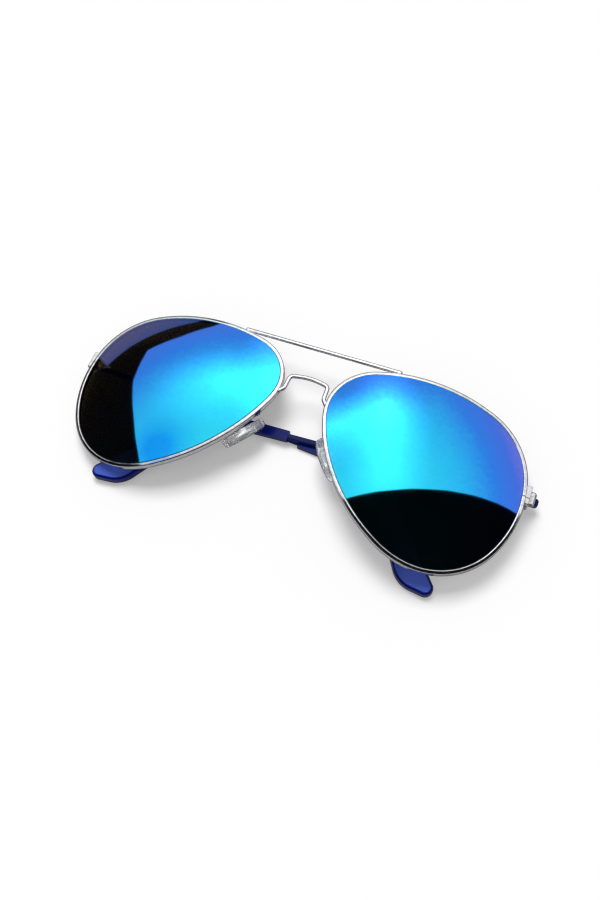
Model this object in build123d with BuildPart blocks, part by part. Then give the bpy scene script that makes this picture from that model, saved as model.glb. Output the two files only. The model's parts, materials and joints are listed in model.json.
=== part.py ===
"""Folding wire-frame sunglasses with teardrop lenses, modelled in millimetres.

Folded and lying on the temples: +Z is up, out of the fronts of the lenses,
+Y runs toward the brow and +X toward the wearer's left.  The origin is the
middle of the footprint, at the level of the lowest face.
"""
import os
from math import cos, radians, sin, tan

from build123d import *

os.makedirs("parts", exist_ok=True)

# ---------------------------------------------------------------- dimensions
# Front
lens_spacing = 70.6            # between the centres of the two lenses
lens_base_radius = 88.0        # spherical curve of the front of a lens
lens_wrap = 2.9                # degrees the outer edge is swept back
lens_thickness = 1.6
lens_seat = 0.45               # how far the lens edge reaches into the rim
lens_play = 0.03               # clearance around the lens edge in its groove
rim_width = 1.2                # across the wire, in the lens plane
rim_depth = 1.9                # front to back
rim_rounding = 0.4
solder = 0.01                  # film between the rim and what is soldered to it

lens_y = 6.264                 # lens centre, from the middle of the footprint
lens_z = 17.796                # crown of the lens fronts above the lowest face

bridge_wire = 1.15
bridge_rise = 12.4             # top of the arch above the lens centres
# Foot, knee and shoulder of the bridge, outward from the middle and above the
# lens centres.  The feet turn outward onto the rims.
bridge_side = ((7.9, 4.8), (6.2, 6.9), (6.0, 11.3))
bridge_corner = 1.5            # bend radius of the corners
bridge_arch = 18.0             # and of the top
bridge_z = lens_z - 3.9
brow_bar_wire = 1.15
brow_bar_length = 50.0
brow_bar_end_rounding = 0.5
brow_bar_y = lens_y + 22.2
brow_bar_z = lens_z - 3.4

# Hinges and closing blocks
hinge_x = 70.3                 # hinge axis, from the middle plane
hinge_y = lens_y + 0.3
hinge_z = lens_z - 12.9
hinge_height = 3.4
knuckle_radius = 1.0
knuckle_height = 1.2           # the middle one of three
knuckle_gap = 0.05
knuckle_slot_play = 0.15       # around the middle knuckle, in the end piece
screw_radius = 0.45
screw_play = 0.03
screw_head_spread = 1.6        # radius of a screw head, in shank radii
screw_head_rise = 0.85         # and its height
hinge_screw_overhang = 0.15    # of its end below the hinge
lock_width = 2.0               # closing block, across the rim
lock_height = 1.9
lock_gap = 0.2                 # the slit in the rim, closed by the lock screw
lock_front_rise = 4.4          # its front above the hinge axis
lock_overlap = 0.15            # of the block and the barrel of the hinge
lock_screw_rise = 2.1          # lock screw above the hinge axis
lock_screw_outward = 0.3       # and outward from the middle of the block
block_rounding = 0.35

# Temples
fold_lean = 0.75               # degrees each folded temple leans from level
temple_height = 1.7
temple_thickness = 1.2
temple_rounding = 0.4
temple_clearance = 0.1         # between the butt and the barrel of the hinge
temple_drop = 3.0              # degrees the straight run falls from the hinge
temple_bend_at = 96.5          # from the hinge axis to the ear bend
temple_bend_radius = 30.0
temple_hook_angle = 53.0       # degrees the hook falls below the hinge line
temple_core_end = 33.0         # where the wire stops, from the bend
butt_height = 2.4              # flattened root of the temple
butt_thickness = 1.5
butt_outward = 2.0             # its reach beyond the hinge axis
butt_inward = 2.2              # and before it
butt_corner = 0.8
butt_rounding = 0.5
leaf_length = 5.0
leaf_thickness = 0.6

# Temple tips
tip_start = 72.0               # from the hinge axis
tip_length = 42.6              # from the bend to the end
tip_slant = 9.0                # how much shorter the inside of the paddle is
tip_start_height = 3.0
tip_bend_height = 3.6
tip_end_height = 9.6
tip_start_thickness = 2.0
tip_end_thickness = 3.2
tip_thin_until = 95.0          # from the hinge axis
tip_thick_from = 110.0
tip_outer_corner = 2.2
tip_inner_corner = 8.0
tip_rounding = 0.9
tip_play = 0.03                # around the wire, inside the tip
tip_bore_play = 0.2            # beyond the end of the wire

# Nose pads
pad_length = 13.5
pad_width = 7.0
pad_thickness = 2.5
pad_centre = (13.9, lens_y - 8.4, lens_z - 7.8)
pad_slant = 53.0               # degrees the long axis falls from the X axis
pad_splay = 22.0               # degrees the face turns from nose to wearer
pad_front_rounding = 0.9
pad_back_rounding = 0.6
pad_core_length = 6.8
pad_core_width = 3.4
pad_core_thickness = 0.5
pad_core_level = 1.0           # from the back of the pad
pad_core_play = 0.02
pad_axis_depth = 1.6           # screw axis behind the back of the pad
pad_lug_radius = 0.8
pad_screw_radius = 0.4
pad_box_length = 2.4
pad_box_width = 2.7
pad_box_depth = 2.0
pad_box_wall = 0.55
pad_box_gap = 0.06             # beside the lug
pad_box_rounding = 0.3
pad_box_floor_depth = 1.05     # inside floor behind the screw axis
pad_arm_wire = 0.9
pad_arm_foot = (10.2, lens_y - 2.9, lens_z - 3.3)
pad_arm_start = (0.1, 0, -1)   # the way it leaves the rim
pad_arm_dip = (12.2, lens_y - 2.6, lens_z - 7.2)
pad_arm_approach = (-1.2, -0.9, -1.6)  # from the box, along and across the pad

pieces = []


def hand_over(piece, name):
    """Label one finished piece and keep it for export."""
    piece.part.label = name
    pieces.append(piece.part)


# --------------------------------------------------------------- lens and rim
# side is +1 for the wearer's left, at +X, and -1 for the right.

# Teardrop outline of the glass: tangent arcs through these points, outward and
# upward from the lens centre, leaving the first point in the given direction.
teardrop = (
    (31.76, 2.07),
    (18.36, 17.33),
    (-16.67, 19.29),
    (-26.58, 5.46),
    (-25.84, 1.67),
    (-0.51, -28.12),
    (7.94, -30.62),
    (28.73, -19.82),
)
teardrop_start = 102.65        # degrees from the outward direction

outline_corners = []
heading = Vector(1, 0).rotate(Axis.Z, teardrop_start)
for number, spot in enumerate(teardrop):
    outline_corners.append((Vector(*spot), heading))
    following = teardrop[(number + 1) % len(teardrop)]
    heading = TangentArc(spot, following, tangent=heading) % 1


def glass_outline(side, growth):
    """Teardrop face grown outward by the given amount, arc by arc."""
    corners = []
    for spot, heading in outline_corners:
        grown = spot + heading.rotate(Axis.Z, -90) * growth
        corners.append(((side * grown.X, grown.Y), (side * heading.X, heading.Y)))
    with BuildSketch() as face:
        with BuildLine():
            for number, (spot, heading) in enumerate(corners):
                following = corners[(number + 1) % len(corners)][0]
                TangentArc(spot, following, tangent=heading)
        make_face()
    return face.sketch


def curved_slab(outline, front, depth):
    """Cut the outline out of a spherical shell lying on the lens curve."""
    with BuildPart() as slab:
        with BuildSketch(Plane.XY.offset(-lens_z)):
            add(outline)
        extrude(amount=lens_z + rim_depth + rim_width)
        # The spheres lie on their sides, so no pole or seam falls on the lens.
        with Locations(Location((0, 0, -lens_base_radius), (90, 0, 0))):
            Sphere(lens_base_radius + front, mode=Mode.INTERSECT)
            Sphere(lens_base_radius + front - depth, mode=Mode.SUBTRACT)
    return slab.part


def lens_place(side):
    """Where the lens's own frame sits: wrapped back at its outer edge."""
    return Location((side * lens_spacing / 2, lens_y, lens_z), (0, side * lens_wrap, 0))


tongue_depth = lens_thickness / 2
tongue_front = -(lens_thickness - tongue_depth) / 2
rim_front = (rim_depth - lens_thickness) / 2


def lens_solid(side):
    """Lens with the thin tongue around its edge that sits in the rim."""
    with BuildPart() as lens:
        add(curved_slab(glass_outline(side, -lens_play), 0, lens_thickness))
        add(curved_slab(glass_outline(side, lens_seat), tongue_front, tongue_depth))
    return lens_place(side) * lens.part


def rim_disc(side, growth):
    """The rim's outside, filled in, with its outer edges rounded."""
    outline = glass_outline(side, rim_width + growth)
    with BuildPart() as disc:
        add(curved_slab(outline, rim_front + growth, rim_depth + 2 * growth))
        fillet(disc.edges(), rim_rounding)
    return disc.part


def rim_solid(side):
    """Grooved rim wire around the lens, slit at the closing block."""
    opening = curved_slab(glass_outline(side, 0), 2 * rim_front + rim_depth, 3 * rim_depth)
    groove = curved_slab(
        glass_outline(side, lens_seat + lens_play),
        tongue_front + lens_play,
        tongue_depth + 2 * lens_play,
    )
    with BuildPart() as rim:
        add(curved_slab(glass_outline(side, rim_width), rim_front, rim_depth))
        add(opening, mode=Mode.SUBTRACT)
        fillet(rim.edges().filter_by(lambda edge: edge.length > rim_width), rim_rounding)
        add(groove, mode=Mode.SUBTRACT)
        with Locations((side * slit_reach, slit_y - lens_y, -lens_z / 2)):
            Box(slit_length, lock_gap, lens_z, mode=Mode.SUBTRACT)
    return lens_place(side) * rim.part


slit_y = hinge_y - hinge_height / 2 - lock_gap / 2
slit_reach = teardrop[0][0] + rim_width / 2
slit_length = 4 * rim_width

with BuildPart() as left_lens:
    add(lens_solid(1))

with BuildPart() as right_lens:
    add(lens_solid(-1))

with BuildPart() as left_rim:
    add(rim_solid(1))

with BuildPart() as right_rim:
    add(rim_solid(-1))

# Everything soldered to a rim stops on a slightly grown copy of it.
left_cutter = lens_place(1) * rim_disc(1, solder)
right_cutter = lens_place(-1) * rim_disc(-1, solder)

# ------------------------------------------------------- closing block, hinge
def hinge_profile_plane(height):
    """Plane across the hinge axis, at a height above the hinge middle."""
    return Plane(origin=(0, hinge_y + height, 0), x_dir=(1, 0, 0), z_dir=(0, -1, 0))


lock_outer_x = hinge_x - knuckle_radius + lock_overlap
lock_middle_x = lock_outer_x - lock_width / 2
lock_screw_x = lock_middle_x + lock_screw_outward
lock_screw_z = hinge_z + lock_screw_rise
lock_front_z = hinge_z + lock_front_rise
lock_rear_z = hinge_z + knuckle_radius + solder + lock_gap
lock_top = slit_y - lock_gap / 2
hinge_top = hinge_y + hinge_height / 2
slot_height = knuckle_height + 2 * knuckle_gap

with BuildPart() as left_end_piece:
    with BuildSketch(hinge_profile_plane(hinge_height / 2)):
        with Locations((lock_middle_x, (lock_front_z + hinge_z) / 2)):
            Rectangle(lock_width, lock_front_z - hinge_z)
    extrude(amount=hinge_height)
    rear_edges = left_end_piece.edges().filter_by(Axis.Y).group_by(Axis.Z)[0]
    fillet(rear_edges, block_rounding)
    with BuildSketch(hinge_profile_plane(hinge_height / 2)):
        with Locations((hinge_x, hinge_z)):
            Circle(knuckle_radius)
    extrude(amount=hinge_height)
    with BuildSketch(hinge_profile_plane(slot_height / 2)):
        with Locations((hinge_x, hinge_z)):
            Circle(knuckle_radius + knuckle_slot_play)
    extrude(amount=slot_height, mode=Mode.SUBTRACT)
    with BuildSketch(hinge_profile_plane(hinge_height / 2)):
        with Locations((hinge_x, hinge_z)):
            Circle(screw_radius + screw_play)
    extrude(amount=hinge_height, mode=Mode.SUBTRACT)
    with BuildSketch(hinge_profile_plane(-hinge_height / 2)):
        with Locations((lock_screw_x, lock_screw_z)):
            Circle(screw_radius + screw_play)
    extrude(amount=-hinge_height / 2, mode=Mode.SUBTRACT)
    add(left_cutter, mode=Mode.SUBTRACT)

with BuildPart() as left_lock_block:
    with BuildSketch(hinge_profile_plane(-hinge_height / 2 - lock_gap)):
        with Locations((lock_middle_x, (lock_front_z + lock_rear_z) / 2)):
            Rectangle(lock_width, lock_front_z - lock_rear_z)
        with Locations((lock_screw_x, lock_screw_z)):
            Circle(screw_radius + screw_play, mode=Mode.SUBTRACT)
    extrude(amount=lock_height)
    low_edges = left_lock_block.faces().sort_by(Axis.Y)[0].outer_wire().edges()
    fillet(low_edges, block_rounding)
    add(left_cutter, mode=Mode.SUBTRACT)


def screw(start, direction, length, radius):
    """Slotted cheese-head screw: under-head face at start, shank along direction."""
    head_radius = screw_head_spread * radius
    head_height = screw_head_rise * radius
    with BuildPart(Plane(origin=start, z_dir=direction)) as fastener:
        Cylinder(radius, length, align=(Align.CENTER, Align.CENTER, Align.MIN))
        Cylinder(head_radius, head_height, align=(Align.CENTER, Align.CENTER, Align.MAX))
        fillet(fastener.faces().sort_by(Axis(start, direction))[0].edges(), head_height / 3)
        with Locations((0, 0, -head_height)):
            Box(4 * head_radius, head_radius / 3, head_height, mode=Mode.SUBTRACT)
    return fastener.part


with BuildPart() as left_lock_screw:
    lock_screw_start = (lock_screw_x, lock_top - lock_height, lock_screw_z)
    add(screw(lock_screw_start, (0, 1, 0), lock_height + hinge_height / 2, screw_radius))

with BuildPart() as left_hinge_screw:
    shank_length = hinge_height + hinge_screw_overhang
    add(screw((hinge_x, hinge_top, hinge_z), (0, -1, 0), shank_length, screw_radius))

# --------------------------------------------------------- bridge and brow bar
bridge_corners = (
    [(-x, lens_y + y, bridge_z) for x, y in bridge_side]
    + [(0, lens_y + bridge_rise, bridge_z)]
    + [(x, lens_y + y, bridge_z) for x, y in reversed(bridge_side)]
)
bridge_bends = [bridge_corner, bridge_corner, bridge_arch, bridge_corner, bridge_corner]

with BuildPart() as bridge:
    with BuildLine() as bridge_line:
        FilletPolyline(*bridge_corners, radius=bridge_bends)
    with BuildSketch(Plane(origin=bridge_line.line @ 0, z_dir=bridge_line.line % 0)):
        Circle(bridge_wire / 2)
    sweep()
    add(left_cutter, mode=Mode.SUBTRACT)
    add(right_cutter, mode=Mode.SUBTRACT)

with BuildPart() as brow_bar:
    with BuildSketch(Plane.YZ.offset(-brow_bar_length / 2)):
        with Locations((brow_bar_y, brow_bar_z)):
            Circle(brow_bar_wire / 2)
    extrude(amount=brow_bar_length)
    fillet(brow_bar.edges().filter_by(GeomType.CIRCLE), brow_bar_end_rounding)
    add(left_cutter, mode=Mode.SUBTRACT)
    add(right_cutter, mode=Mode.SUBTRACT)

# ------------------------------------------------------------------ nose pads
pad_down = Vector(cos(radians(pad_slant)), -sin(radians(pad_slant)), 0)
pad_side = Vector(-sin(radians(pad_slant)), -cos(radians(pad_slant)), 0)
pad_face = pad_side * cos(radians(pad_splay)) - Vector(0, 0, sin(radians(pad_splay)))
pad_plane = Plane(origin=pad_centre, x_dir=pad_down, z_dir=pad_face)
pad_lug_width = pad_box_width - 2 * pad_box_wall - 2 * pad_box_gap
pad_cross_plane = Plane(
    origin=pad_plane.from_local_coords((0, 0, -pad_axis_depth)),
    x_dir=pad_plane.x_dir,
    z_dir=pad_plane.y_dir,
)


def pad_core_solid(clearance):
    """Oval plate inside the pad with the lug that stands out of its back."""
    lug_reach = pad_core_level + pad_axis_depth
    with BuildPart() as core:
        with BuildSketch(pad_plane.offset(pad_core_level - clearance)):
            Ellipse(pad_core_length / 2 + clearance, pad_core_width / 2 + clearance)
        extrude(amount=pad_core_thickness + 2 * clearance)
        with BuildSketch(pad_cross_plane.offset(-pad_lug_width / 2 - clearance)):
            Circle(pad_lug_radius)
            with Locations((0, -lug_reach / 2)):
                Rectangle(2 * (pad_lug_radius + clearance), lug_reach)
        extrude(amount=pad_lug_width + 2 * clearance)
    return core.part


with BuildPart() as left_pad_core:
    add(pad_core_solid(0))
    with BuildSketch(pad_cross_plane.offset(-pad_lug_width)):
        Circle(pad_screw_radius + screw_play)
    extrude(amount=2 * pad_lug_width, mode=Mode.SUBTRACT)

with BuildPart() as left_nose_pad:
    with BuildSketch(pad_plane):
        Ellipse(pad_length / 2, pad_width / 2)
    extrude(amount=pad_thickness)
    pad_normal = Axis(pad_centre, pad_face)
    fillet(left_nose_pad.faces().sort_by(pad_normal)[-1].edges(), pad_front_rounding)
    fillet(left_nose_pad.faces().sort_by(pad_normal)[0].edges(), pad_back_rounding)
    add(pad_core_solid(pad_core_play), mode=Mode.SUBTRACT)

box_back = -pad_axis_depth - pad_box_floor_depth - pad_box_wall
with BuildPart() as left_pad_box:
    with BuildSketch(pad_plane.offset(box_back)):
        RectangleRounded(pad_box_length, pad_box_width, pad_box_rounding)
    extrude(amount=pad_box_depth + pad_box_wall)
    with BuildSketch(pad_plane.offset(box_back + pad_box_wall)):
        Rectangle(2 * pad_box_length, pad_box_width - 2 * pad_box_wall)
    extrude(amount=2 * pad_box_depth, mode=Mode.SUBTRACT)
    with BuildSketch(pad_cross_plane.offset(-pad_box_width)):
        Circle(pad_screw_radius + screw_play)
    extrude(amount=2 * pad_box_width, mode=Mode.SUBTRACT)

with BuildPart() as left_pad_screw:
    pad_screw_start = pad_cross_plane.from_local_coords((0, 0, -pad_box_width / 2))
    add(screw(pad_screw_start, pad_plane.y_dir, pad_box_width, pad_screw_radius))

# The arm drops behind the rim, sweeps toward the nose and meets the box squarely.
box_plane = pad_plane.offset(box_back)
with BuildPart() as left_pad_arm:
    with BuildLine() as arm_line:
        Spline(
            pad_arm_foot,
            pad_arm_dip,
            box_plane.from_local_coords(pad_arm_approach),
            box_plane.origin,
            tangents=(pad_arm_start, pad_face),
        )
    with BuildSketch(Plane(origin=arm_line.line @ 0, z_dir=arm_line.line % 0)):
        Circle(pad_arm_wire / 2)
    sweep()
    add(left_cutter, mode=Mode.SUBTRACT)
    add(left_pad_box.part, mode=Mode.SUBTRACT)

# -------------------------------------------------------------------- temples
# Each temple is drawn level and then leaned about its hinge axis.  Distances
# run from the hinge axis toward the middle of the glasses (x of this plane).
butt_front_z = hinge_z - knuckle_radius - temple_clearance
wire_z = butt_front_z - temple_thickness / 2
temple_plane = Plane(origin=(hinge_x, hinge_y, wire_z), x_dir=(-1, 0, 0), z_dir=(0, 0, -1))
bend_point = Vector(temple_bend_at, -temple_bend_at * tan(radians(temple_drop)))
run_out = Vector(1, 0).rotate(Axis.Z, -temple_drop)
hook_out = Vector(1, 0).rotate(Axis.Z, -temple_hook_angle)
half_turn = (temple_hook_angle - temple_drop) / 2


def beside_hook(along, aside):
    """Spot this far along the hook from the bend and to its outer side."""
    return bend_point + hook_out * along + hook_out.rotate(Axis.Z, 90) * aside


def beside_bend(aside):
    """Corner at the bend of a line this far outside the centre line."""
    outward = run_out.rotate(Axis.Z, 90 - half_turn)
    return bend_point + outward * (aside / cos(radians(half_turn)))


def temple_line(extra_length):
    """Centre line of the wire, from the hinge axis to its end inside the tip."""
    spots = (Vector(0, 0), bend_point, beside_hook(temple_core_end + extra_length, 0))
    with BuildLine(temple_plane) as line:
        FilletPolyline(*[tuple(spot) for spot in spots], radius=temple_bend_radius)
    return line.line


def wire_solid(extra_length, clearance):
    """Flattened temple wire, grown by a clearance."""
    line = temple_line(extra_length)
    with BuildPart() as wire:
        with BuildSketch(Plane(origin=line @ 0, x_dir=(0, 0, 1), z_dir=line % 0)):
            RectangleRounded(
                temple_thickness + 2 * clearance,
                temple_height + 2 * clearance,
                temple_rounding + clearance,
            )
        sweep(path=line)
    return wire.part


with BuildPart() as level_temple:
    with BuildSketch(Plane.XY.offset(butt_front_z)):
        with Locations((hinge_x + (butt_outward - butt_inward) / 2, hinge_y)):
            RectangleRounded(butt_outward + butt_inward, butt_height, butt_corner)
    extrude(amount=-butt_thickness)
    fillet(level_temple.faces().sort_by(Axis.Z)[0].edges(), butt_rounding)
    add(wire_solid(0, 0))

with BuildPart() as level_leaf:
    with BuildSketch(hinge_profile_plane(knuckle_height / 2)):
        with Locations((hinge_x, hinge_z)):
            Circle(knuckle_radius)
        with Locations((hinge_x - leaf_length / 2, butt_front_z + leaf_thickness / 2)):
            Rectangle(leaf_length, leaf_thickness)
        with Locations((hinge_x, hinge_z)):
            Circle(screw_radius + screw_play, mode=Mode.SUBTRACT)
    extrude(amount=knuckle_height)

start_middle = Vector(tip_start, -tip_start * tan(radians(temple_drop)))
start_aside = run_out.rotate(Axis.Z, 90) * (tip_start_height / 2)
tip_corners = (
    start_middle + start_aside,
    beside_bend(tip_bend_height / 2),
    beside_hook(tip_length, tip_end_height / 2),
    beside_hook(tip_length - tip_slant, -tip_end_height / 2),
    beside_bend(-tip_bend_height / 2),
    start_middle - start_aside,
)
bend_growth = tip_bend_height / 2
tip_corner_radii = {
    1: temple_bend_radius + bend_growth,
    2: tip_outer_corner,
    3: tip_inner_corner,
    4: temple_bend_radius - bend_growth,
}
far_side = temple_bend_at + tip_length
thin, thick = tip_start_thickness / 2, tip_end_thickness / 2
thickness_outline = (
    (0, thin),
    (tip_thin_until, thin),
    (tip_thick_from, thick),
    (far_side, thick),
    (far_side, -thick),
    (tip_thick_from, -thick),
    (tip_thin_until, -thin),
    (0, -thin),
)
thickness_plane = Plane(origin=(hinge_x, hinge_y, wire_z), x_dir=(-1, 0, 0), z_dir=(0, 1, 0))

with BuildPart() as level_tip:
    with BuildSketch(temple_plane) as tip_side:
        with BuildLine():
            Polyline(*tip_corners, close=True)
        make_face()
        for number, radius in tip_corner_radii.items():
            fillet(tip_side.vertices().sort_by_distance(tip_corners[number])[0], radius)
    extrude(amount=tip_end_thickness / 2, both=True)
    # Every edge is rounded but those of the open end, nearest the hinge.
    upright = level_tip.faces().filter_by(lambda face: abs(face.normal_at().Z) < 0.01)
    outline_faces = upright.sort_by(Axis.X)[:-1]
    fillet(outline_faces.edges().filter_by(lambda edge: abs((edge % 0.5).Z) < 0.5), tip_rounding)
    # Thin where it crosses the other temple, thicker toward the end.
    with BuildSketch(thickness_plane):
        with BuildLine():
            Polyline(*thickness_outline, close=True)
        make_face()
    extrude(amount=far_side, both=True, mode=Mode.INTERSECT)
    add(wire_solid(tip_bore_play, tip_play), mode=Mode.SUBTRACT)

# --------------------------------------------------------------- both sides
front_pieces = {
    "end_piece": left_end_piece,
    "lock_block": left_lock_block,
    "lock_screw": left_lock_screw,
    "hinge_screw": left_hinge_screw,
    "pad_arm": left_pad_arm,
    "pad_box": left_pad_box,
    "pad_screw": left_pad_screw,
    "pad_core": left_pad_core,
    "nose_pad": left_nose_pad,
}
folding_pieces = {
    "temple": level_temple,
    "temple_leaf": level_leaf,
    "temple_tip": level_tip,
}

hand_over(bridge, "bridge")
hand_over(brow_bar, "brow_bar")
hand_over(left_lens, "left_lens")
hand_over(right_lens, "right_lens")
hand_over(left_rim, "left_rim")
hand_over(right_rim, "right_rim")

for name, piece in front_pieces.items():
    hand_over(piece, "left_" + name)
    with BuildPart() as twin:
        mirror(piece.part, about=Plane.YZ)
    hand_over(twin, "right_" + name)

hinge_axis = Axis((hinge_x, hinge_y, hinge_z), (0, 1, 0))
for name, piece in folding_pieces.items():
    with BuildPart() as inner:
        add(piece.part.rotate(hinge_axis, fold_lean))
    hand_over(inner, "left_" + name)
    with BuildPart() as outer:
        mirror(piece.part.rotate(hinge_axis, -fold_lean), about=Plane.YZ)
    hand_over(outer, "right_" + name)

for piece in pieces:
    export_step(piece, "parts/" + piece.label + ".step")
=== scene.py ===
"""Mirrored teardrop sunglasses lying folded on a white table."""
import json
import math

import bpy
from mathutils import Matrix, Vector


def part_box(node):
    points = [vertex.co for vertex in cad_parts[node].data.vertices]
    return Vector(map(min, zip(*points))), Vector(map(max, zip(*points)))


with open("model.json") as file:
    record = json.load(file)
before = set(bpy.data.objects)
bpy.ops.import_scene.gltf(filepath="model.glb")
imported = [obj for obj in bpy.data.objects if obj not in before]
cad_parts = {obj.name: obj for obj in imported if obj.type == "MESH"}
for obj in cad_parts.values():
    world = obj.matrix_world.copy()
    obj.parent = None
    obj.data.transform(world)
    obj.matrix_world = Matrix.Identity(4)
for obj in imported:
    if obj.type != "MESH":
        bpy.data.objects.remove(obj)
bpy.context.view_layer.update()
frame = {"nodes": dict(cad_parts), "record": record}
record = frame["record"]

# ------------------------------------------------------------- small helpers


class Recipe:
    """A node material being written: makes nodes and wires them in one call."""

    def __init__(self, name):
        self.material = bpy.data.materials.new(name)
        self.material.use_nodes = True
        self.tree = self.material.node_tree
        self.tree.nodes.clear()

    def node(self, kind, settings=None, **inputs):
        made = self.tree.nodes.new("ShaderNode" + kind)
        for key, value in (settings or {}).items():
            setattr(made, key, value)
        for key, value in inputs.items():
            socket = made.inputs[key.replace("_", " ")]
            if isinstance(value, bpy.types.NodeSocket):
                self.tree.links.new(value, socket)
            else:
                socket.default_value = value
        return made

    def link(self, output, node, index):
        """Wire an output to an input by its number, where inputs share a name."""
        self.tree.links.new(output, node.inputs[index])

    def noise(self, scale, detail=3.0, roughness=0.5):
        where = self.node("TexCoord").outputs["Object"]
        made = self.node("TexNoise", Vector=where, Scale=scale, Detail=detail, Roughness=roughness)
        return made.outputs["Fac"]

    def math(self, operation, *values):
        """Result of a math node, such as ADD, on one or two outputs."""
        made = self.node("Math", {"operation": operation})
        for index, value in enumerate(values):
            self.link(value, made, index)
        return made.outputs["Value"]

    def axis(self, vector, letter):
        """One coordinate of a vector."""
        return self.node("SeparateXYZ", Vector=vector).outputs[letter]

    def spread(self, value, low, high, start=0.0, end=1.0):
        """Map start..end to low..high, and hold the ends."""
        made = self.node(
            "MapRange", Value=value, From_Min=start, From_Max=end, To_Min=low, To_Max=high
        )
        return made.outputs["Result"]

    def ramp(self, value, stops):
        """Colour ramp through (place, colour) stops."""
        made = self.node("ValToRGB", Fac=value)
        points = made.color_ramp.elements
        while len(points) < len(stops):
            points.new(0.5)
        for point, (place, colour) in zip(points, stops):
            point.position = place
            point.color = (*colour, 1)
        return made.outputs["Color"]

    def bump(self, height, strength, distance):
        made = self.node("Bump", Height=height, Strength=strength, Distance=distance)
        return made.outputs["Normal"]

    def finish(self, shader):
        output = self.node("OutputMaterial")
        self.tree.links.new(shader, output.inputs["Surface"])
        return self.material


def metal(name, colour, worn, rough, scratch_scale):
    """Polished or machined metal with a faint tarnish and fine scratches."""
    r = Recipe(name)
    tarnish = r.noise(900, 4)
    hue = r.ramp(tarnish, [(0.35, worn), (0.6, colour)])
    streaks = r.noise(scratch_scale, 8, 0.7)
    rougher = r.spread(streaks, rough, rough * 2.2)
    surface = r.node(
        "BsdfPrincipled",
        Base_Color=hue,
        Metallic=1.0,
        Roughness=rougher,
        Normal=r.bump(streaks, 0.12, 0.00002),
    )
    return r.finish(surface.outputs["BSDF"])


# Where the painted sheen on the flat faces of the temple-tip paddles fades in, outward from the
# middle plane.
sheen_starts = 0.032
sheen_full = 0.045


def paint_sheen_on_flats(r, hue, sheen_colour):
    """Mix a painted sheen colour onto the flat faces of the paddles."""
    where = r.node("TexCoord")
    level = r.math("ABSOLUTE", r.axis(where.outputs["Normal"], "Z"))
    flat = r.spread(level, 0, 1, start=0.93, end=0.998)
    away = r.math("ABSOLUTE", r.axis(where.outputs["Object"], "X"))
    sheen_fade_in = r.spread(away, 0, 1, start=sheen_starts, end=sheen_full)
    mixed = r.node("Mix", {"data_type": "RGBA"})
    r.link(r.math("MULTIPLY", flat, sheen_fade_in), mixed, 0)
    r.link(hue, mixed, 6)
    mixed.inputs[7].default_value = (*sheen_colour, 1)
    return mixed.outputs[2]


def lacquer(name, colour, deep, rough, grain_scale, shine, sheen_colour=None):
    """Glossy paint or plastic with cloudy colour and a slight orange peel, and optionally a
    painted sheen on the flat faces of the paddles.
    """
    r = Recipe(name)
    cloud = r.noise(160, 3)
    hue = r.ramp(cloud, [(0.3, deep), (0.7, colour)])
    # Painted sheen: a paler colour on the flat faces of the paddles, fading in away from the
    # middle plane.
    if sheen_colour:
        hue = paint_sheen_on_flats(r, hue, sheen_colour)
    grain = r.noise(grain_scale, 5, 0.6)
    surface = r.node(
        "BsdfPrincipled",
        Base_Color=hue,
        Roughness=r.spread(grain, rough, rough * 1.8),
        Specular_IOR_Level=shine,
        Specular_Tint=(0.45, 0.55, 1.0, 1),
        Normal=r.bump(grain, 0.08, 0.00003),
    )
    return r.finish(surface.outputs["BSDF"])


def clear_pad(name):
    """Clear soft plastic, a little milky, with fine ripples."""
    r = Recipe(name)
    milk = r.noise(420, 3)
    ripple = r.noise(1400, 4)
    surface = r.node(
        "BsdfPrincipled",
        Base_Color=r.ramp(milk, [(0.3, (0.72, 0.78, 0.85)), (0.7, (0.90, 0.93, 0.96))]),
        Roughness=r.spread(ripple, 0.04, 0.12),
        IOR=1.45,
        Transmission_Weight=0.92,
        Normal=r.bump(ripple, 0.1, 0.00004),
    )
    return r.finish(surface.outputs["BSDF"])


# Colour of the mirror coating, from looking straight in to looking along it.
coating_colours = [
    (0.04, (0.030, 0.68, 0.92)),
    (0.16, (0.025, 0.50, 0.92)),
    (0.28, (0.030, 0.22, 0.84)),
    (0.36, (0.060, 0.17, 0.80)),
    (0.46, (0.260, 0.20, 0.66)),
]


def mirror_lens(name):
    """Brown glass with a mirror coating, cyan from in front and violet from the side."""
    r = Recipe(name)
    smear = r.noise(60, 4)
    mottle = r.noise(800, 6, 0.75)
    specks = r.noise(2600, 2)
    facing = r.node("LayerWeight", Blend=0.5).outputs["Facing"]
    # The coating is thicker toward the far end of the left lens.
    along = r.axis(r.node("TexCoord").outputs["Object"], "X")
    thicker = r.spread(along, 0, 0.20, start=0.038, end=0.068)
    clouded = r.math("ADD", facing, r.spread(mottle, -0.06, 0.06))
    uneven = r.math("ADD", clouded, thicker)
    mirror = r.node(
        "BsdfPrincipled",
        Base_Color=r.ramp(uneven, coating_colours),
        Metallic=1.0,
        Roughness=r.spread(smear, 0.03, 0.07),
        Normal=r.bump(specks, 0.04, 0.00001),
    )
    # The coating works once, where light enters; light leaves through clear glass.
    glass = r.node("BsdfTransparent", Color=(0.80, 0.62, 0.36, 1))
    clear = r.node("BsdfTransparent", Color=(1, 1, 1, 1))
    mirrored = r.spread(facing, 0.97, 0.78, start=0.03, end=0.45)
    coated = r.node("MixShader", Fac=mirrored)
    r.link(glass.outputs["BSDF"], coated, 1)
    r.link(mirror.outputs["BSDF"], coated, 2)
    either = r.node("MixShader", Fac=r.node("NewGeometry").outputs["Backfacing"])
    r.link(coated.outputs["Shader"], either, 1)
    r.link(clear.outputs["BSDF"], either, 2)
    return r.finish(either.outputs["Shader"])


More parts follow.
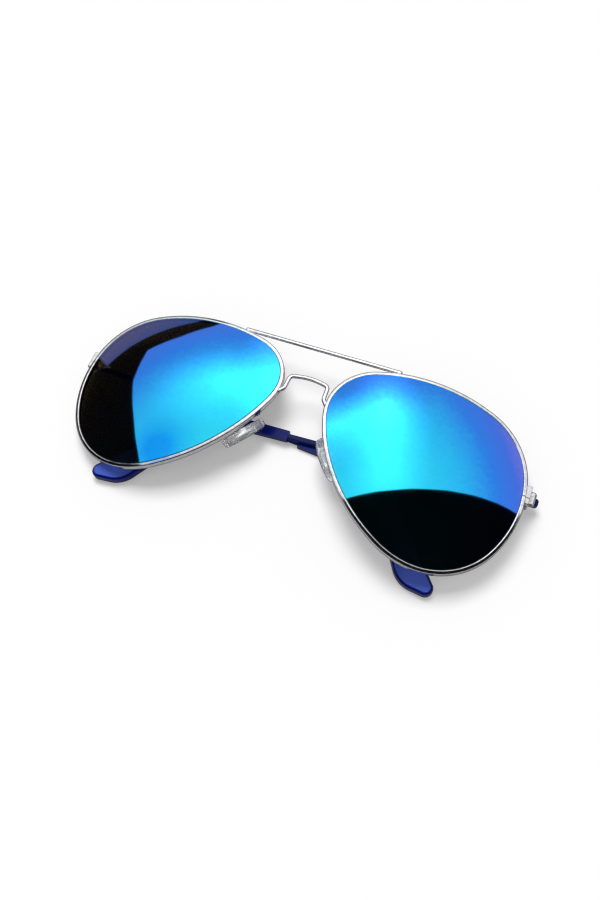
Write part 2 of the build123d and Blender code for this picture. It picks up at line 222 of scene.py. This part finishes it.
looks = {
    "frame_metal": metal(
        "polished_silver",
        colour=(0.80, 0.80, 0.82),
        worn=(0.60, 0.60, 0.63),
        rough=0.07,
        scratch_scale=2200,
    ),
    "screw_steel": metal(
        "screw_steel",
        colour=(0.60, 0.60, 0.62),
        worn=(0.38, 0.38, 0.40),
        rough=0.22,
        scratch_scale=3000,
    ),
    "mirror_lens": mirror_lens("mirror_lens"),
    "temple_paint": lacquer(
        "navy_paint",
        colour=(0.001, 0.003, 0.040),
        deep=(0.0005, 0.002, 0.022),
        rough=0.14,
        grain_scale=1800,
        shine=0.22,
    ),
    "tip_plastic": lacquer(
        "navy_plastic",
        colour=(0.001, 0.004, 0.075),
        deep=(0.0005, 0.002, 0.045),
        rough=0.13,
        grain_scale=1200,
        shine=0.22,
        # painted sheen colour on the flat faces of the paddles
        sheen_colour=(0.034, 0.062, 0.32),
    ),
    "pad_silicone": clear_pad("clear_pad"),
}
for row in record["subparts"]:
    piece = frame["nodes"][row["node"]]
    piece.data.materials.clear()
    piece.data.materials.append(looks[row["material_slot"]])

# --------------------------------------------------------------------- stage
card_height = 0.060            # of the cards, above the crown of the lenses
card_step = 0.0005             # between one glow card and the next
crown_z = max(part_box("left_lens")[1].z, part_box("right_lens")[1].z)
lens_middle_y = (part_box("left_lens")[0].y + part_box("left_lens")[1].y) / 2


def hang(name, outline, level, shader_of):
    """Flat sheet over the glasses that is seen only in reflections."""
    mesh = bpy.data.meshes.new(name)
    corners = [(x, lens_middle_y + y, level) for x, y in outline]
    mesh.from_pydata(corners, [], [tuple(range(len(corners)))])
    hung = bpy.data.objects.new(name, mesh)
    bpy.context.scene.collection.objects.link(hung)
    r = Recipe(name)
    mesh.materials.append(r.finish(shader_of(r)))
    hung.visible_camera = False
    hung.visible_diffuse = False
    hung.visible_shadow = False
    hung.visible_transmission = False


def dark_card(name, outline, colour=(0, 0, 0)):
    """Part of the unlit room, as the lenses see it."""

    def shade(r):
        return r.node("Emission", Color=(*colour, 1)).outputs["Emission"]

    hang(name, outline, crown_z + card_height, shade)


glow_cards = []


def glow_card(name, centre, reach, turn, strength, filter_colour=(1, 1, 1)):
    """Soft glowing oval, seen only in reflections as a painted patch of light that brightens what
    lies behind it, or colours it like a filter.
    """
    glow_cards.append(name)
    level = crown_z + card_height + card_step * len(glow_cards)

    def shade(r):
        where = r.node("TexCoord").outputs["Object"]
        placed = r.node(
            "Mapping",
            {"vector_type": "TEXTURE"},
            Vector=where,
            Location=(centre[0], lens_middle_y + centre[1], level),
            Rotation=(0, 0, math.radians(turn)),
            Scale=(reach[0], reach[1], 1),
        ).outputs["Vector"]
        fade = r.node(
            "TexGradient", {"gradient_type": "QUADRATIC_SPHERE"}, Vector=placed
        ).outputs["Fac"]
        streaks = r.noise(30, 3, 0.6)
        uneven = r.math("MULTIPLY", fade, r.spread(streaks, 0.6 * strength, 1.4 * strength))
        light = r.node("Emission", Strength=uneven)
        tint = r.ramp(fade, [(0.0, (1, 1, 1)), (0.6, filter_colour)])
        clear = r.node("BsdfTransparent", Color=tint)
        both = r.node("AddShader")
        r.link(light.outputs["Emission"], both, 0)
        r.link(clear.outputs["BSDF"], both, 1)
        return both.outputs["Shader"]

    far = max(reach)
    square = [(-far, -far), (far, -far), (far, far), (-far, far)]
    outline = [(centre[0] + x, centre[1] + y) for x, y in square]
    hang(name, outline, level, shade)


def disc_outline(centre, radius, corners=96):
    """Corners of a round card."""
    turns = [2 * math.pi * step / corners for step in range(corners)]
    return [(centre[0] + radius * math.cos(t), centre[1] + radius * math.sin(t)) for t in turns]


def white_floor():
    """Large pale table top, tilted so that both temple tips rest on it."""
    mesh = bpy.data.meshes.new("floor")
    reach = 3.0
    gap = 0.0002               # under the lower tip
    mesh.from_pydata(
        [(-reach, -reach, 0), (reach, -reach, 0), (reach, reach, 0), (-reach, reach, 0)],
        [],
        [(0, 1, 2, 3)],
    )
    floor = bpy.data.objects.new("floor", mesh)
    bpy.context.scene.collection.objects.link(floor)
    left_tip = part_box("left_temple_tip")
    right_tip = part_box("right_temple_tip")
    rise = left_tip[0].z - right_tip[0].z
    run = right_tip[1].x - left_tip[0].x
    tilt = math.atan2(rise, run)
    floor.matrix_world = (
        Matrix.Translation((right_tip[1].x, 0, right_tip[0].z - gap))
        @ Matrix.Rotation(tilt, 4, "Y")
    )
    floor.is_shadow_catcher = True
    r = Recipe("paper")
    grain = r.noise(40, 4)
    paper = r.ramp(grain, [(0, (0.92, 0.92, 0.92)), (1, (0.96, 0.96, 0.96))])
    sheet = r.node("BsdfDiffuse", Color=paper)
    # Polished metal sees a darker table, which draws the dark lines along it.
    gloom = r.node("BsdfDiffuse", Color=(0.26, 0.26, 0.28, 1))
    seen = r.node("MixShader", Fac=r.node("LightPath").outputs["Is Glossy Ray"])
    r.link(sheet.outputs["BSDF"], seen, 1)
    r.link(gloom.outputs["BSDF"], seen, 2)
    mesh.materials.append(r.finish(seen.outputs["Shader"]))


def studio_world():
    """White overhead, dark toward the horizon for mirrors, warm and dim for shadows."""
    world = bpy.data.worlds.new("studio")
    bpy.context.scene.world = world
    world.use_nodes = True
    tree = world.node_tree
    tree.nodes.clear()
    where = tree.nodes.new("ShaderNodeTexCoord")
    axes = tree.nodes.new("ShaderNodeSeparateXYZ")
    ramp = tree.nodes.new("ShaderNodeValToRGB")
    rays = tree.nodes.new("ShaderNodeLightPath")
    tree.links.new(where.outputs["Generated"], axes.inputs[0])
    tree.links.new(axes.outputs["Z"], ramp.inputs["Fac"])
    dark, bright = ramp.color_ramp.elements
    dark.position, dark.color = 0.22, (0.02, 0.02, 0.025, 1)
    bright.position, bright.color = 0.42, (1, 1, 1, 1)
    shade = ramp.outputs["Color"]
    seen_by = (
        ("Is Camera Ray", (1.0, 1.0, 1.0, 1)),
        ("Is Diffuse Ray", (0.30, 0.26, 0.20, 1)),
    )
    for ray, seen in seen_by:
        choose = tree.nodes.new("ShaderNodeMix")
        choose.data_type = "RGBA"
        tree.links.new(rays.outputs[ray], choose.inputs[0])
        tree.links.new(shade, choose.inputs[6])
        choose.inputs[7].default_value = seen
        shade = choose.outputs[2]
    background = tree.nodes.new("ShaderNodeBackground")
    output = tree.nodes.new("ShaderNodeOutputWorld")
    tree.links.new(shade, background.inputs["Color"])
    tree.links.new(background.outputs["Background"], output.inputs["Surface"])


def lamp(name, place, size, energy, colour, shadow=True):
    """Square soft light pointing at the glasses, not seen in the mirrors."""
    data = bpy.data.lights.new(name, "AREA")
    data.size = size
    data.energy = energy
    data.color = colour
    data.use_shadow = shadow
    made = bpy.data.objects.new(name, data)
    made.visible_glossy = False
    place = Vector(place)
    facing = place.to_track_quat("Z", "Y").to_matrix().to_4x4()
    made.matrix_world = Matrix.Translation(place) @ facing
    bpy.context.scene.collection.objects.link(made)


white_floor()
studio_world()
lamp("key", (-0.07, 0.17, 0.52), 0.26, 3.4, (0.92, 0.97, 1.0))
lamp("fill", (0.10, -0.30, 0.60), 0.6, 3.8, (1.0, 0.92, 0.78), shadow=False)

# The dark room around the window, as the lenses see it: one round shape below
# the window, and to its left a corner with a dim strip of ceiling beyond it.
dark_card("dark_below", disc_outline((0.198, -0.370), 0.400))
# Each of these is one edge of the window or of the ceiling, in order round it.
window_edge = [
    (-0.060, -0.085),
    (-0.0816, -0.0444),
    (-0.0997, -0.0136),
    (-0.128, 0.026),
    (-0.145, 0.072),
]
window_top = [(-0.113, 0.091), (-0.088, 0.1215), (-0.045, 0.172)]
ceiling_edge = [
    (-0.080, 0.180),
    (-0.116, 0.135),
    (-0.166, 0.118),
    (-0.213, 0.100),
    (-0.253, 0.074),
]
ceiling_far = [(-0.420, 0.150), (-1.600, 0.500)]
corner_far = [(-1.6, -0.6), (-0.2, -0.4)]
strip_far = [(-1.6, 1.6), (-0.1, 1.2)]
dark_card("dark_left", window_edge + window_top + ceiling_edge + ceiling_far + corner_far)
dark_card("dim_ceiling", ceiling_edge + ceiling_far + strip_far, (0.30, 0.40, 0.34))
# Painted reflections of the window in the lenses: glowing ovals seen only in reflections; the last
# one does not glow and only tints the reflection blue.
glow_card("window_glow", (-0.032, 0.042), (0.085, 0.050), 25, 1.6)
glow_card("window_streak", (0.003, 0.062), (0.042, 0.125), 20, 2.2)
glow_card("blue_reflection_tint", (-0.066, -0.032), (0.050, 0.040), 30, 0.0, (0.3, 0.55, 1.0))

bpy.context.scene.view_settings.view_transform = "Standard"

# -------------------------------------------------------------------- camera
view_azimuth = math.radians(31.84)
view_elevation = math.radians(62.99)
view_roll = math.radians(-11.19)
view_distance = 0.2208
focal_share = 798.0 / 900.0
aim_lift = -0.00742            # from the middle of the lenses toward the brow
aim = Vector((0.00688, lens_middle_y + aim_lift, crown_z - 0.0001))

back = Vector(
    (
        math.sin(view_azimuth) * math.cos(view_elevation),
        -math.cos(view_azimuth) * math.cos(view_elevation),
        math.sin(view_elevation),
    )
)
level_right = Vector((math.cos(view_azimuth), math.sin(view_azimuth), 0))
level_up = back.cross(level_right)
right = level_right * math.cos(view_roll) + level_up * math.sin(view_roll)
up = back.cross(right)
turn = Matrix((right, up, back)).transposed().to_4x4()
camera_data = bpy.data.cameras.new("camera")
camera_data.lens = camera_data.sensor_width * focal_share
camera_data.clip_start = 0.005
camera = bpy.data.objects.new("camera", camera_data)
camera.matrix_world = Matrix.Translation(aim + back * view_distance) @ turn
bpy.context.scene.collection.objects.link(camera)
bpy.context.scene.camera = camera
